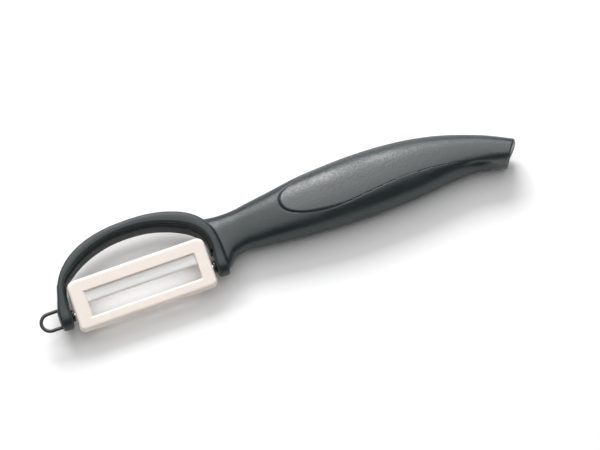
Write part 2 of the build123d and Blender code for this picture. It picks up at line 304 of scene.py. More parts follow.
class PEELER_PG_grip(bpy.types.PropertyGroup):
    """Sizes and colours of the grip."""
    panel_lift: FloatProperty(name="Panel Lift", description="How far the panel stands out, in mm",
                              default=0.6)
    edge_round: FloatProperty(name="Panel Edge", description="Round of the panel's edge, in mm", default=0.9)
    lean: FloatProperty(name="Tail Lean", description="Lean of the tail's end face",
                        default=math.radians(35), subtype="ANGLE")
    tail_rise: FloatProperty(name="Tail Rise", description="Tail's top corner above the pivots, in mm",
                             default=8.0)
    rows: IntProperty(name="Rows", description="Rows of faces along the grip", default=240)
    colour: FloatVectorProperty(name="Shell Colour", description="Colour of the grip's shells",
                                default=(0.022, 0.031, 0.033), subtype="COLOR")
    panel_colour: FloatVectorProperty(name="Panel Colour", description="Colour of the thumb panels",
                                      default=(0.024, 0.034, 0.036), subtype="COLOR")


class PEELER_PG_bow(bpy.types.PropertyGroup):
    """Sizes and colours of the bow, its rib, the loop and the pivots."""
    band_tip: FloatProperty(name="Tip Arm", description="Thickness of the tip arm, in mm",
                            default=TIP_ARM)
    band_top: FloatProperty(name="Top", description="Thickness of the band at its top, in mm", default=3.9)
    band_neck: FloatProperty(name="Neck Arm", description="Thickness of the neck arm, in mm", default=4.7)
    arm_depth: FloatProperty(name="Arm Depth", description="Depth of the arms at the pivots, in mm",
                             default=9.0)
    arm_flare: FloatProperty(name="Flare", description="Height where the arms reach full depth, in mm",
                             default=12.0)
    foot_reach: FloatProperty(name="Foot Reach", description="How far the tip arm's foot stands out, in mm",
                              default=1.3)
    foot_rise: FloatProperty(name="Foot Rise", description="Height where the foot's slope ends, in mm",
                             default=11.0)
    foot_full: FloatProperty(name="Foot Full", description="Height where the foot is full, in mm",
                             default=2.0)
    rib_end: FloatProperty(name="Rib End", description="Height above the pivots where the rib stops, in mm",
                           default=5.4)
    wire: FloatProperty(name="Loop Wire", description="Thickness of the loop's wire, in mm", default=1.3)
    colour: FloatVectorProperty(name="Band Colour", description="Colour of the band",
                                default=(0.020, 0.029, 0.030), subtype="COLOR")
    # The rib's colour is the band's black plastic made darker still, as painted shade for the shadow under
    # the band.
    rib_painted_shade_colour: FloatVectorProperty(name="Rib Colour", description="Colour of the inner rib",
                                    default=(0.008, 0.011, 0.012), subtype="COLOR")
    loop_colour: FloatVectorProperty(name="Loop Colour", description="Colour of the loop and the collars",
                                     default=(0.006, 0.007, 0.007), subtype="COLOR")


class PEELER_PG_carrier(bpy.types.PropertyGroup):
    """Sizes and colours of the carrier and the blade."""
    tilt: FloatProperty(name="Tilt", description="Turn of the carrier about its pivots at rest",
                        default=math.radians(19), subtype="ANGLE")
    depth: FloatProperty(name="Depth", description="Depth of the carrier, in mm", default=4.4)
    bar_reach: FloatProperty(name="Bar Reach", description="Pivots to the bar's outer edge, in mm",
                             default=12.2)
    guard_reach: FloatProperty(name="Guard Reach", description="Pivots to the guard's outer edge, in mm",
                               default=7.3)
    bar_width: FloatProperty(name="Bar Width", description="Width of the bar, in mm", default=5.0)
    guard_width: FloatProperty(name="Guard Width", description="Width of the guard bar, in mm", default=4.8)
    cheek_tip: FloatProperty(name="Tip Cheek", description="Width of the cheek at the tip, in mm",
                             default=6.0)
    cheek_neck: FloatProperty(name="Neck Cheek", description="Width of the cheek at the neck, in mm",
                              default=4.9)
    blade_width: FloatProperty(name="Blade Width", description="Width of blade that shows, in mm",
                               default=4.5)
    blade_sink: FloatProperty(name="Blade Sink", description="Blade's face under the bar's face, in mm",
                              default=1.5)
    blade_thickness: FloatProperty(name="Blade Thickness", description="Thickness of the blade, in mm",
                                   default=1.2)
    bevel: FloatProperty(name="Edge Bevel", description="Width of the blade's ground bevel, in mm",
                         default=0.7)
    colour: FloatVectorProperty(name="Carrier Colour", description="Colour of the carrier",
                                default=(0.92, 0.83, 0.76), subtype="COLOR")
    blade_colour: FloatVectorProperty(name="Blade Colour", description="Colour of the ceramic",
                                      default=(0.95, 0.95, 0.94), subtype="COLOR")


class PEELER_PG_stage(bpy.types.PropertyGroup):
    """The camera, the floor and the lights."""
    elevation: FloatProperty(name="Elevation", description="Height angle of the camera",
                             default=math.radians(69.5), subtype="ANGLE")
    azimuth: FloatProperty(name="Azimuth", description="Turn of the camera round the peeler",
                           default=math.radians(20.35), subtype="ANGLE")
    lens: FloatProperty(name="Lens", description="Focal length, in mm", default=180.0)
    view_width: FloatProperty(name="View Width", description="Width seen at the peeler, in mm", default=220.9)
    aim_right: FloatProperty(name="Aim Right", description="Middle of the view, right of the pivots, in mm",
                             default=57.36)
    aim_up: FloatProperty(name="Aim Up", description="Middle of the view, above the pivots, in mm",
                          default=24.41)
    floor_colour: FloatVectorProperty(name="Floor Colour", description="Colour of the plain floor",
                                      default=(0.92, 0.92, 0.92), subtype="COLOR")


# ---- grip

# Stations along the handle: place (0 at the neck arm, 1 at the tail), low and high side above the
# pivots, and half depth, in millimetres.
STATIONS = (
    (-0.075, -3.5, 21.9, 5.2),
    (-0.048, -3.4, 20.2, 5.2),
    (-0.010, -3.2, 19.1, 5.3),
    (0.008, -2.4, 18.8, 5.4),
    (0.032, 0.4, 18.6, 5.7),
    (0.060, 1.5, 18.6, 6.0),
    (0.125, 1.2, 19.6, 7.1),
    (0.230, 0.0, 21.2, 8.4),
    (0.350, -1.0, 22.4, 9.2),
    (0.470, -1.4, 23.0, 9.5),
    (0.590, -1.0, 22.6, 9.4),
    (0.690, -0.1, 21.2, 8.9),
    (0.775, 1.1, 19.0, 8.3),
    (0.845, 1.5, 16.3, 7.8),
    (0.915, 0.6, 13.0, 7.4),
    (0.975, -1.0, 9.4, 7.1),
    (1.035, -3.2, 5.4, 6.9),
)
GRIP_SQUARENESS = 2.7
LOW_SIDE = [(row[0], row[1]) for row in STATIONS]
HIGH_SIDE = [(row[0], row[2]) for row in STATIONS]
HALF_DEPTH = [(row[0], row[3]) for row in STATIONS]
DEEPEST = max(row[3] for row in STATIONS)
BEND_ROUNDS = 24        # how often the bent rows are worked out again, so that they settle
SEAM_DEPTH, SEAM_WIDTH = 0.10, 0.02     # millimetres, and radians from the seam
GROOVE_DEPTH = 0.55     # groove round the part of the panel that stands out
SEAT_DEPTH = 0.8        # how far the shell lies under the panel
FLUSH_STEP = 0.04       # how far the panel stands out where it is called flush
FLUSH_REACH = 3.2       # how far outside the panel the shell rises to meet it
SCOOP_DEPTH = 1.1       # hollow under the ridge near the tail

# The leaf outline of the thumb panel: place and rise above the pivots.
PANEL_TIP = (0.215, 12.9)
PANEL_LOW_EDGE = (
    (0.222, 9.9), (0.250, 7.1), (0.306, 4.9), (0.383, 3.9), (0.486, 4.9), (0.606, 6.2),
    (0.726, 5.9), (0.829, 4.3), (0.900, 1.8), (0.950, -1.5), (1.000, -6.0),
)
PANEL_HIGH_EDGE = ((0.222, 15.4), (0.246, 17.7), (0.290, 20.4), (0.350, 25.0), (0.400, 30.0))


def past_tip(place_on_grip):
    """Square root of the distance past the panel's tip, in which the outline is smooth."""
    return np.sqrt(np.maximum(np.asarray(place_on_grip, float) - PANEL_TIP[0], 0))


def panel_side(edge, place_on_grip):
    """Rise of the panel's low or high edge at a place along the handle."""
    points = [(0.0, PANEL_TIP[1])] + [(float(past_tip(where)), rise) for where, rise in edge]
    return smooth(points, past_tip(place_on_grip))


def panel_outline():
    """Points round the panel's outline, as x along the handle and rise, in millimetres."""
    low_places = PANEL_TIP[0] + np.linspace(0, 1, 160) ** 2 * (1.0 - PANEL_TIP[0])
    high_places = PANEL_TIP[0] + np.linspace(0, 1, 60) ** 2 * (PANEL_HIGH_EDGE[-1][0] - PANEL_TIP[0])
    low = np.stack([low_places * HANDLE_LENGTH, panel_side(PANEL_LOW_EDGE, low_places)], axis=1)
    high = np.stack([high_places * HANDLE_LENGTH, panel_side(PANEL_HIGH_EDGE, high_places)], axis=1)
    return np.concatenate([low, high])


def inside_panel(place_on_grip, rise):
    """Distance inside the panel's outline, in millimetres; it is negative outside."""
    outline = panel_outline()
    points = np.stack([np.ravel(place_on_grip) * HANDLE_LENGTH, np.ravel(rise)], axis=1)
    gap = np.sqrt(((points[:, None, :] - outline[None, :, :]) ** 2).sum(axis=2).min(axis=1))
    low = panel_side(PANEL_LOW_EDGE, np.ravel(place_on_grip))
    high = panel_side(PANEL_HIGH_EDGE, np.ravel(place_on_grip))
    within = (np.ravel(place_on_grip) > PANEL_TIP[0]) & (points[:, 1] > low) & (points[:, 1] < high)
    return np.where(within, gap, -gap).reshape(np.shape(rise))


def section(place_on_grip, angle, lift=0.0):
    """Rise and depth of the grip's surface. The angle runs from the high side to the low side, over the
    front."""
    low = smooth(LOW_SIDE, place_on_grip)
    high = smooth(HIGH_SIDE, place_on_grip)
    half_rise = (high - low) / 2 + lift
    half_depth = smooth(HALF_DEPTH, place_on_grip) * GRIP_HALF_DEPTH / DEEPEST + lift
    rise = (high + low) / 2 + half_rise * power(np.cos(angle), 2 / GRIP_SQUARENESS)
    depth = half_depth * power(np.sin(angle), 2 / GRIP_SQUARENESS)
    return rise, depth


def crease_place(rise):
    """Place of the neck arm's outer side, which the grip starts on, at a rise above the pivots."""
    shoulder = outer_arch(400)[200:]
    x = np.interp(-np.maximum(rise, 0), -shoulder[:, 1], shoulder[:, 0])
    return (x - BOW_HIGH.x) / HANDLE_LENGTH


def tail_place(rise, grip):
    """Place of the tail's leaning end face at a rise above the pivots."""
    return 1 - (grip.tail_rise - rise) * math.tan(grip.lean) / HANDLE_LENGTH


def sheared_places(start, angles, grip, lift=0.0):
    """Places of a row of points, bent to follow the neck arm at one end and the tail's face at the other."""
    places = np.full(angles.shape, start)
    neck_share = 1 - ease(0.0, 0.10, start)
    tail_share = ease(0.86, 1.0, start)
    for _ in range(BEND_ROUNDS):
        rise, _ = section(places, angles, lift)
        places = start + neck_share * crease_place(rise) + tail_share * (tail_place(rise, grip) - 1)
    return places


def grip_angles(count):
    """Angles from the high seam to the low seam, closer together at the seams."""
    inner = np.linspace(0.035, 0.965, count)
    close = np.array([0.0, 0.0025, 0.007, 0.016])
    return math.pi * np.concatenate([close, inner, 1 - close[::-1]])


def seam_dip(angles):
    """A fine groove where the two halves of the grip meet."""
    from_seam = np.minimum(angles, math.pi - angles)
    return -SEAM_DEPTH * (1 - ease(0.0, SEAM_WIDTH, from_seam))


def flush_share(places, rise):
    """0 where the panel stands out of the shell, and 1 where the two surfaces are flush."""
    low, high = smooth(LOW_SIDE, places), smooth(HIGH_SIDE, places)
    up_share = (rise - low) / (high - low)
    return np.maximum(ease(0.30, 0.44, places), ease(0.70, 0.97, up_share))


def shell_lift(places, rise, grip):
    """How far the shell's surface lies from the panel's level: its seat, the ridge and the tail's scoop."""
    inside = inside_panel(places, rise)
    flush = flush_share(places, rise)
    near_panel = bump_at(inside, 0.0, FLUSH_REACH) * (inside < 0) + (inside >= 0)
    level = -grip.panel_lift + flush * (grip.panel_lift - FLUSH_STEP) * near_panel
    gap = ease(-0.45, 0.10, inside) * (1 - flush)
    seat = ease(0.25, 1.0, inside) + flush * ease(-0.05, 0.35, inside)
    return level - GROOVE_DEPTH * gap - SEAT_DEPTH * np.clip(seat, 0, 1)


def tail_scoop(places, rise):
    """The hollow under the ridge near the tail, 1 at its deepest."""
    return bump_at(places, 0.870, 0.050) * bump_at(inside_panel(places, rise), -1.4, 1.5)


def shell_rows(grip, side):
    """Rings of one half shell: out over the outside, and back along the inside of the wall."""
    angles = grip_angles(76)
    rings = []
    starts = np.concatenate([np.linspace(0.0, 0.10, 40), np.linspace(0.104, 0.36, grip.rows // 3),
                             np.linspace(0.363, 0.985, grip.rows // 2), [0.990, 0.994, 0.997, 0.999, 1.0]])
    for start in starts:
        places = sheared_places(start, angles, grip)
        rise, _ = section(places, angles)
        round_in = 0.35 * (1 - np.sqrt(np.clip(1 - ease(0.995, 1.0, start) ** 2, 0, 1)))
        from_seam = np.minimum(angles, math.pi - angles)
        scoop = SCOOP_DEPTH * tail_scoop(places, rise) * ease(0.1, 0.7, from_seam)
        lift = shell_lift(places, rise, grip) - scoop
        lift = lift + seam_dip(angles) - round_in
        rise, depth = section(places, angles, lift)
        hollow = 0.12 + 0.66 * ease(0.05, 0.12, start) * (1 - ease(0.76, 0.82, start))
        if start in (starts[0], starts[-1]):
            hollow = 0.0
        middle = (rise.max() + rise.min()) / 2
        middle_place = (places.max() + places.min()) / 2
        outer = np.stack([places, rise, depth], axis=1)
        inner = np.stack([middle_place + (places - middle_place) * hollow,
                          middle + (rise - middle) * hollow, depth * hollow], axis=1)
        rings.append(np.concatenate([outer, inner[::-1]]))
    return to_frame(np.array(rings), side)


def panel_rows(grip, side):
    """Rings of one thumb panel: out over its face, and back along its underside."""
    rings = []
    across = np.concatenate([[0, 0.006, 0.015, 0.03], np.linspace(0.05, 0.95, 56), [0.97, 0.985, 0.994, 1]])
    starts = PANEL_TIP[0] + np.linspace(0.012, 1, grip.rows) ** 2 * (1.0 - PANEL_TIP[0])
    for start in starts:
        top, bottom = smooth(HIGH_SIDE, start), smooth(LOW_SIDE, start)
        middle, half = (top + bottom) / 2, (top - bottom) / 2
        edge_angles = []
        for edge in (PANEL_HIGH_EDGE, PANEL_LOW_EDGE):
            share = float(np.clip((panel_side(edge, start) - middle) / half, -1, 1))
            edge_angles.append(math.acos(power(share, GRIP_SQUARENESS / 2)))
        angles = edge_angles[0] + across * (edge_angles[1] - edge_angles[0])
        places = sheared_places(start, angles, grip)
        rise, _ = section(places, angles)
        inside = np.maximum(inside_panel(places, rise), 0)
        flush = flush_share(places, rise)
        share = np.clip(1 - inside / grip.edge_round, 0, 1)
        drop = (grip.panel_lift + 0.5) * (1 - flush) + 0.10 * flush
        lift = -drop * (1 - np.sqrt(1 - share**2)) + seam_dip(angles)
        rise, depth = section(places, angles, lift)
        low_rise, low_depth = section(places, angles, -grip.panel_lift - 0.75)
        face = np.stack([places, rise, depth], axis=1)
        under = np.stack([places, low_rise, low_depth], axis=1)
        rings.append(np.concatenate([face, under[::-1]]))
    return to_frame(np.array(rings), side)


def to_frame(points, side):
    """Turn place, rise and depth into the frame's millimetres, on the front (1) or the back (-1)."""
    x = BOW_HIGH.x + points[..., 0] * HANDLE_LENGTH
    y = PIVOT.y + points[..., 1]
    z = MID_Z + side * points[..., 2]
    return np.stack([x, y, z], axis=-1)


class PEELER_OT_grip(bpy.types.Operator):
    """Make the two shells of the hollow grip and their thumb panels"""
    bl_idname = "peeler.make_grip"
    bl_label = "Grip"

    def execute(self, context):
        grip = context.scene.peeler_grip
        shell = plastic("shell_plastic", grip.colour, 0.40, 1250.0, 0.11, colour_spread=0.45,
                        roughness_spread=0.30, specular=0.46)
        panel = plastic("panel_plastic", grip.panel_colour, 0.42, 1250.0, 0.14, colour_spread=0.50,
                        roughness_spread=0.35, specular=0.80)
        for side, name in ((1, "front"), (-1, "back")):
            half = ladder_mesh(f"grip_shell_{name}", shell_rows(grip, side))
            place(half, "handle", "grip_plastic", shell, f"handle_shell_{name}")
            leaf = ladder_mesh(f"grip_panel_{name}", panel_rows(grip, side))
            place(leaf, "handle", "panel_plastic", panel, f"thumb_panel_{name}")
        return {"FINISHED"}


# ---- bow

OUTER_SQUARENESS = 2.4
SHOULDER_SQUARENESS = 3.2
BAND_SQUARENESS = 4.6
RIB_SQUARENESS = 4.5
ARM_END_TAPER = 0.42    # share of its thickness that an arm loses at its end
RIB_ROOT = (1.2, 1.2, 1.2)          # how deep the rib sits in the band, at the tip arm, top and neck arm
RIB_PROUD = (-0.3, -1.0, -0.9)      # how far it stands out of the band there, as a negative depth
BOW_TOP_X = PIVOT.x + 3.0
INNER_SHAPE = (
    (-1, 0), (-0.997, 0.213), (-0.980, 0.400), (-0.942, 0.536), (-0.835, 0.668), (-0.690, 0.796),
    (-0.532, 0.894), (-0.323, 0.972), (0, 1), (0.260, 0.970), (0.480, 0.902), (0.700, 0.800),
    (0.860, 0.689), (0.960, 0.570), (1.016, 0.451), (1.032, 0.298), (1.012, 0.106), (1, 0),
)


def inner_arch(grow_tip, grow_top, grow_neck, bow, count=400):
    """Points along the inside of the band, from the tip arm to the neck arm, without the legs."""
    left = BOW_TOP_X - (ARM_X + bow.band_tip - grow_tip)
    right = BOW_HIGH.x - bow.band_neck + grow_neck - BOW_TOP_X
    height = BOW_REACH - bow.band_top + grow_top
    shape = np.array([((left if x < 0 else right) * x, height * y) for x, y in INNER_SHAPE])
    steps = np.sqrt((np.diff(shape, axis=0) ** 2).sum(axis=1))
    along = np.concatenate([[0], np.cumsum(steps)])
    at = np.linspace(0, along[-1], count)
    x = smooth(np.stack([along, shape[:, 0]], axis=1), at)
    y = smooth(np.stack([along, shape[:, 1]], axis=1), at)
    return np.stack([BOW_TOP_X + x, y], axis=1)


def outer_arch(count=200):
    """Points along the outside of the band, from the tip arm to the neck arm, without the legs."""
    angle = np.pi * (1 - np.linspace(0, 1, count))
    neck_share = np.maximum(np.cos(angle), 0) ** 2
    squareness = OUTER_SQUARENESS + neck_share * (SHOULDER_SQUARENESS - OUTER_SQUARENESS)
    x = power(np.cos(angle), 2 / squareness)
    y = power(np.sin(angle), 2 / squareness)
    half_span = np.where(x < 0, BOW_TOP_X - ARM_X, BOW_HIGH.x - BOW_TOP_X)
    return np.stack([BOW_TOP_X + half_span * x, BOW_REACH * y], axis=1)


def evened(points, count):
    """The same curve with its points spaced evenly."""
    steps = np.sqrt((np.diff(points, axis=0) ** 2).sum(axis=1))
    along = np.concatenate([[0], np.cumsum(steps)])
    at = np.linspace(0, along[-1], count)
    return np.stack([np.interp(at, along, points[:, 0]), np.interp(at, along, points[:, 1])], axis=1)


def nearest_on(curve, points):
    """For each point, the nearest one on a curve, in order along it."""
    found = ((points[:, None, :] - curve[None, :, :]) ** 2).sum(axis=2).argmin(axis=1)
    found = np.maximum.accumulate(found)
    return curve[found]


def rounded_profile(count, squareness):
    """A closed profile of unit half width and half depth, from the outer side over the front and home over
    the back."""
    angle = np.linspace(0, np.pi, count)
    front = np.stack([-power(np.cos(angle), 2 / squareness), power(np.sin(angle), 2 / squareness)], axis=1)
    back = np.stack([front[::-1, 0], -front[::-1, 1]], axis=1)
    return np.concatenate([front, back[1:-1]])


class PEELER_OT_bow(bpy.types.Operator):
    """Make the band of the bow with its two arms, and the rib that stands out of its inside"""
    bl_idname = "peeler.make_bow"
    bl_label = "Bow"

    def execute(self, context):
        bow = context.scene.peeler_bow
        band = plastic("band_plastic", bow.colour, 0.38, 1250.0, 0.09, colour_spread=0.40,
                       roughness_spread=0.25, specular=0.38)
        # The rib's very dark base colour is partly its black plastic and partly painted shade for the shadow
        # under the band.
        rib = plastic("rib_plastic", bow.rib_painted_shade_colour, 0.34, 2200.0, 0.010, colour_spread=0.20,
                      specular=0.15)
        place(ladder_mesh("bow_band", band_rings(bow)), "handle", "bow_plastic", band, "bow_cover")
        place(ladder_mesh("bow_rib", rib_rings(bow)), "handle", "rib_plastic", rib, "frame_core")
        return {"FINISHED"}


def foot_side(bow, rise):
    """Outer side of the tip arm's foot at a rise above the pivots. It slopes into the middle of the arm."""
    share = np.clip((rise - bow.foot_full) / (bow.foot_rise - bow.foot_full), 0, None)
    return ARM_X - bow.foot_reach + float(share) * (bow.foot_reach + bow.band_tip / 2)


def band_rings(bow):
    """Rings of the band, from the end of the tip arm over the top to the end of the neck arm."""
    outer = evened(outer_arch(600), 150)
    inner = nearest_on(inner_arch(0, 0, 0, bow, 1600), outer)
    half_arm = bow.arm_depth / 2
    turn = np.linspace(0, np.pi / 2, 14)
    legs = -half_arm * np.sin(turn[1:])
    inner_tip, inner_neck = ARM_X + bow.band_tip, BOW_HIGH.x - bow.band_neck
    ends = [(y, np.sqrt(max(half_arm**2 - y * y, 0))) for y in legs]
    tip_leg = [((ARM_X, y), (inner_tip, y), half_depth, y) for y, half_depth in ends[::-1]]
    neck_leg = [((BOW_HIGH.x, y), (inner_neck, y), half_depth, y) for y, half_depth in ends]
    full = (BOW_HIGH.z - BOW_LOW.z) / 2
    arch = []
    for out, into in zip(outer, inner):
        rise = min(out[1], into[1])
        half_depth = half_arm + (full - half_arm) * float(ease(0.0, bow.arm_flare, rise))
        arch.append((out, into, half_depth, rise))
    rings = []
    profile = rounded_profile(21, BAND_SQUARENESS)
    for out, into, half_depth, rise in tip_leg + arch + neck_leg:
        out, into = np.array(out), np.array(into)
        if out[0] < BOW_TOP_X and rise < bow.foot_rise:
            out[0] = min(out[0], foot_side(bow, rise))
        middle, half = (out + into) / 2, (into - out) / 2
        end_share = float(np.clip(-rise / half_arm, 0, 1))
        half = half * (1 - ARM_END_TAPER * end_share**4)
        flat = middle[None, :] + profile[:, :1] * half[None, :]
        depth = profile[:, 1] * half_depth
        ring = np.stack([flat[:, 0], PIVOT.y + flat[:, 1], MID_Z + depth], axis=1)
        rings.append(ring)
    return rings


def rib_rings(bow):
    """Rings of the rib, which lines the inside of the band and stops above the pivots."""
    root = inner_arch(*RIB_ROOT, bow, 1600)
    proud = evened(inner_arch(*RIB_PROUD, bow, 1600), 180)
    root = nearest_on(root, proud)
    keep = proud[:, 1] > bow.rib_end
    profile = rounded_profile(17, RIB_SQUARENESS)
    half_depth = (CORE_HIGH.z - CORE_LOW.z) / 2
    rings = []
    for into, out in zip(proud[keep], root[keep]):
        middle, half = (out + into) / 2, (into - out) / 2
        flat = middle[None, :] + profile[:, :1] * half[None, :]
        depth = profile[:, 1] * half_depth
        rings.append(np.stack([flat[:, 0], PIVOT.y + flat[:, 1], MID_Z + depth], axis=1))
    return rings


# ---- loop and pivots


COLLAR_BARREL, COLLAR_BORE = 1.70, 1.02     # radii of the part let into the arm and of the pin's hole


def tube_rings(path, radius, count=20):
    """Round rings along a flat path of (x, y) points."""
    path = np.asarray(path, float)
    ahead = np.gradient(path, axis=0)
    ahead /= np.linalg.norm(ahead, axis=1)[:, None]
    side = np.stack([-ahead[:, 1], ahead[:, 0]], axis=1)
    angle = np.arange(count) * 2 * np.pi / count
    rings = []
    for point, out in zip(path, side):
        flat = point[None, :] + radius * np.cos(angle)[:, None] * out[None, :]
        rings.append(np.stack([flat[:, 0], flat[:, 1], MID_Z + radius * np.sin(angle)], axis=1))
    return rings


class PEELER_OT_loop(bpy.types.Operator):
    """Make the wire loop at the tip"""
    bl_idname = "peeler.make_loop"
    bl_label = "Loop"

    def execute(self, context):
        bow = context.scene.peeler_bow
        half_wire = bow.wire / 2
        middle_y = (LOOP_LOW.y + LOOP_HIGH.y) / 2
        bend = (LOOP_HIGH.y - LOOP_LOW.y) / 2 - half_wire
        end_x = LOOP_LOW.x + half_wire + bend
        turn = np.linspace(0, np.pi, 40)
        leg = np.linspace(LOOP_HIGH.x, end_x, 16)[:-1]
        low = [(x, middle_y - bend) for x in leg]
        arc = [(end_x - bend * math.sin(a), middle_y - bend * math.cos(a)) for a in turn]
        high = [(x, middle_y + bend) for x in leg[::-1]]
        wire = plastic("loop_coating", bow.loop_colour, 0.36, 3000.0, 0.008, colour_spread=0.25,
                       coat=0.15)
        loop = ladder_mesh("wire_loop", tube_rings(low + arc + high, half_wire))
        place(loop, "handle", "loop_wire", wire, "eye_loop")
        return {"FINISHED"}


class PEELER_OT_pivots(bpy.types.Operator):
    """Make the collars that the carrier turns between, and finish the steel pins"""
    bl_idname = "peeler.make_pivots"
    bl_label = "Pivots"

    def execute(self, context):
        bow = context.scene.peeler_bow
        dark = plastic("collar_plastic", bow.loop_colour, 0.30, 2400.0, 0.006, colour_spread=0.10)
        steel = turned_steel("pin_steel")
        for end, direction in (("tip", 1), ("neck", -1)):
            low, high = box_mm(f"pivot_bush_{end}")
            inner_x, outer_x = (high.x, low.x) if direction > 0 else (low.x, high.x)
            radius = (high.z - low.z) / 2
            arm_face = ARM_X + bow.band_tip if direction > 0 else BOW_HIGH.x - bow.band_neck
            collar = [
                (outer_x, COLLAR_BARREL), (arm_face, COLLAR_BARREL),
                (arm_face, radius - 0.12), (arm_face + direction * 0.10, radius),
                (inner_x - direction * 0.28, radius), (inner_x - direction * 0.08, radius - 0.10),
                (inner_x, radius - 0.32), (inner_x, 1.45), (inner_x - direction * 0.10, 1.30),
                (inner_x - direction * 0.10, COLLAR_BORE), (outer_x, COLLAR_BORE),
            ]
            turned = lathe_mesh(f"pivot_collar_{end}", collar)
            place(turned, "handle", "bush_plastic", dark, f"pivot_bush_{end}")
            pin = frame["nodes"][f"pivot_pin_{end}"]
            pin.data.materials.clear()
            pin.data.materials.append(steel)
        return {"FINISHED"}


def lathe_mesh(name, profile, count=48):
    """A closed profile of (x, radius) points, turned about the pivot axis."""
    rings = []
    for step in range(count + 1):
        angle = 2 * math.pi * step / count
        rings.append([(x, PIVOT.y + r * math.cos(angle), PIVOT.z + r * math.sin(angle)) for x, r in profile])
    return ladder_mesh(name, rings, closed_ends=False)


# ---- carrier and blade

CORNER_RADII = (2.2, 2.4, 3.0, 3.0)     # guard side at the tip and neck, bar side at the neck and tip
WINDOW_RADIUS = 0.35
BAR_ROUND = 1.0         # round of the bar's outer edges
GUARD_FLAT = 0.3        # half of the flat that is left on the guard bar's outer side
EDGE_SUPPORT = 0.12     # strip that keeps a face flat beside its rounded edge
BLADE_KEY = 2.2         # how deep the blade is let into the bar
BLADE_LIP = 0.06        # break of the blade's other edges


def carrier_point(along, across, out, tilt):
    """A point of the carrier: along the pivots, across towards the bow, and out of its face."""
    y = PIVOT.y + across * math.cos(tilt) - out * math.sin(tilt)
    z = PIVOT.z + across * math.sin(tilt) + out * math.cos(tilt)
    return along, y, z


def rounded_corners(low, high, radii, per_corner, per_side):
    """A rectangle as points and inward normals, with each corner rounded. Corners run low-left,
    low-right, high-right, high-left."""
    corners = [(low[0], low[1]), (high[0], low[1]), (high[0], high[1]), (low[0], high[1])]
    inwards = [(1, 1), (-1, 1), (-1, -1), (1, -1)]
    first_turn = [math.pi, 1.5 * math.pi, 0.0, 0.5 * math.pi]
    arcs = []
    for (x, y), (dx, dy), radius, first in zip(corners, inwards, radii, first_turn):
        turn = first + np.linspace(0, math.pi / 2, per_corner)
        centre = np.array([x + dx * radius, y + dy * radius])
        outward = np.stack([np.cos(turn), np.sin(turn)], axis=1)
        arcs.append((centre + radius * outward, -outward))
    points, normals = [], []
    for index, (arc, inward) in enumerate(arcs):
        following, next_inward = arcs[(index + 1) % 4]
        points.append(arc)
        normals.append(inward)
        share = np.linspace(0, 1, per_side + 2)[1:-1, None]
        points.append(arc[-1] + share * (following[0] - arc[-1]))
        normals.append(inward[-1] + share * (next_inward[0] - inward[-1]))
    return np.concatenate(points), np.concatenate(normals)


def round_edge(radius, steps):
    """Steps round a quarter edge, as (in from the wall, down from the face), from the wall to the face."""
    turn = np.linspace(0, math.pi / 2, steps)
    return [(radius * (1 - math.sin(a)), radius * (1 - math.cos(a))) for a in turn[::-1]]


class PEELER_OT_carrier(bpy.types.Operator):
    """Make the frame that carries the blade, with its window, its bar and its rounder guard bar"""
    bl_idname = "peeler.make_carrier"
    bl_label = "Carrier"

    def execute(self, context):
        carrier = context.scene.peeler_carrier
        cream = plastic("carrier_plastic", carrier.colour, 0.38, 1400.0, 0.006, cloud_size=90.0,
                        colour_spread=0.05, roughness_spread=0.10, subsurface=0.15)
        piece = ladder_mesh("carrier_frame", carrier_rings(carrier), closed_ends=False)
        place(piece, "blade", "carrier_plastic", cream, "blade_carrier")
        return {"FINISHED"}


def carrier_rings(carrier):
    """Loops round the frame's section, from one point of the outline to the next."""
    half = carrier.depth / 2
    low = (CARRIER_LOW.x, INSIDE_BOX - carrier.guard_reach)
    high = (CARRIER_HIGH.x, carrier.bar_reach)
    window_low = (CARRIER_LOW.x + carrier.cheek_tip, carrier.guard_width - carrier.guard_reach)
    window_high = (CARRIER_HIGH.x - carrier.cheek_neck, carrier.bar_reach - carrier.bar_width)
    outside, outside_in = rounded_corners(low, high, CORNER_RADII, 12, 40)
    inside, inside_in = rounded_corners(window_low, window_high, [WINDOW_RADIUS] * 4, 12, 40)
    rings = []
    for index in range(len(outside) + 1):
        i = index % len(outside)
        guard_side = ease(-0.2, 1.0, outside_in[i][1])
        outer_round = BAR_ROUND + (half - GUARD_FLAT - BAR_ROUND) * guard_side
        inner_round = 0.40 + 0.25 * guard_side + 0.80 * ease(0.3, 1.0, outside_in[i][0])
        outer_steps = round_edge(outer_round, 8) + [(outer_round + EDGE_SUPPORT, 0.0)]
        inner_steps = [(inner_round + EDGE_SUPPORT, 0.0)] + round_edge(inner_round, 5)[::-1]
        ring = [(*(outside[i] + outside_in[i] * into), half - down) for into, down in outer_steps]
        ring += [(*(inside[i] - inside_in[i] * into), half - down) for into, down in inner_steps]
        ring += [(*(inside[i] - inside_in[i] * into), down - half) for into, down in inner_steps[::-1]]
        ring += [(*(outside[i] + outside_in[i] * into), down - half) for into, down in outer_steps[::-1]]
        rings.append([carrier_point(*point, carrier.tilt) for point in ring])
    return rings


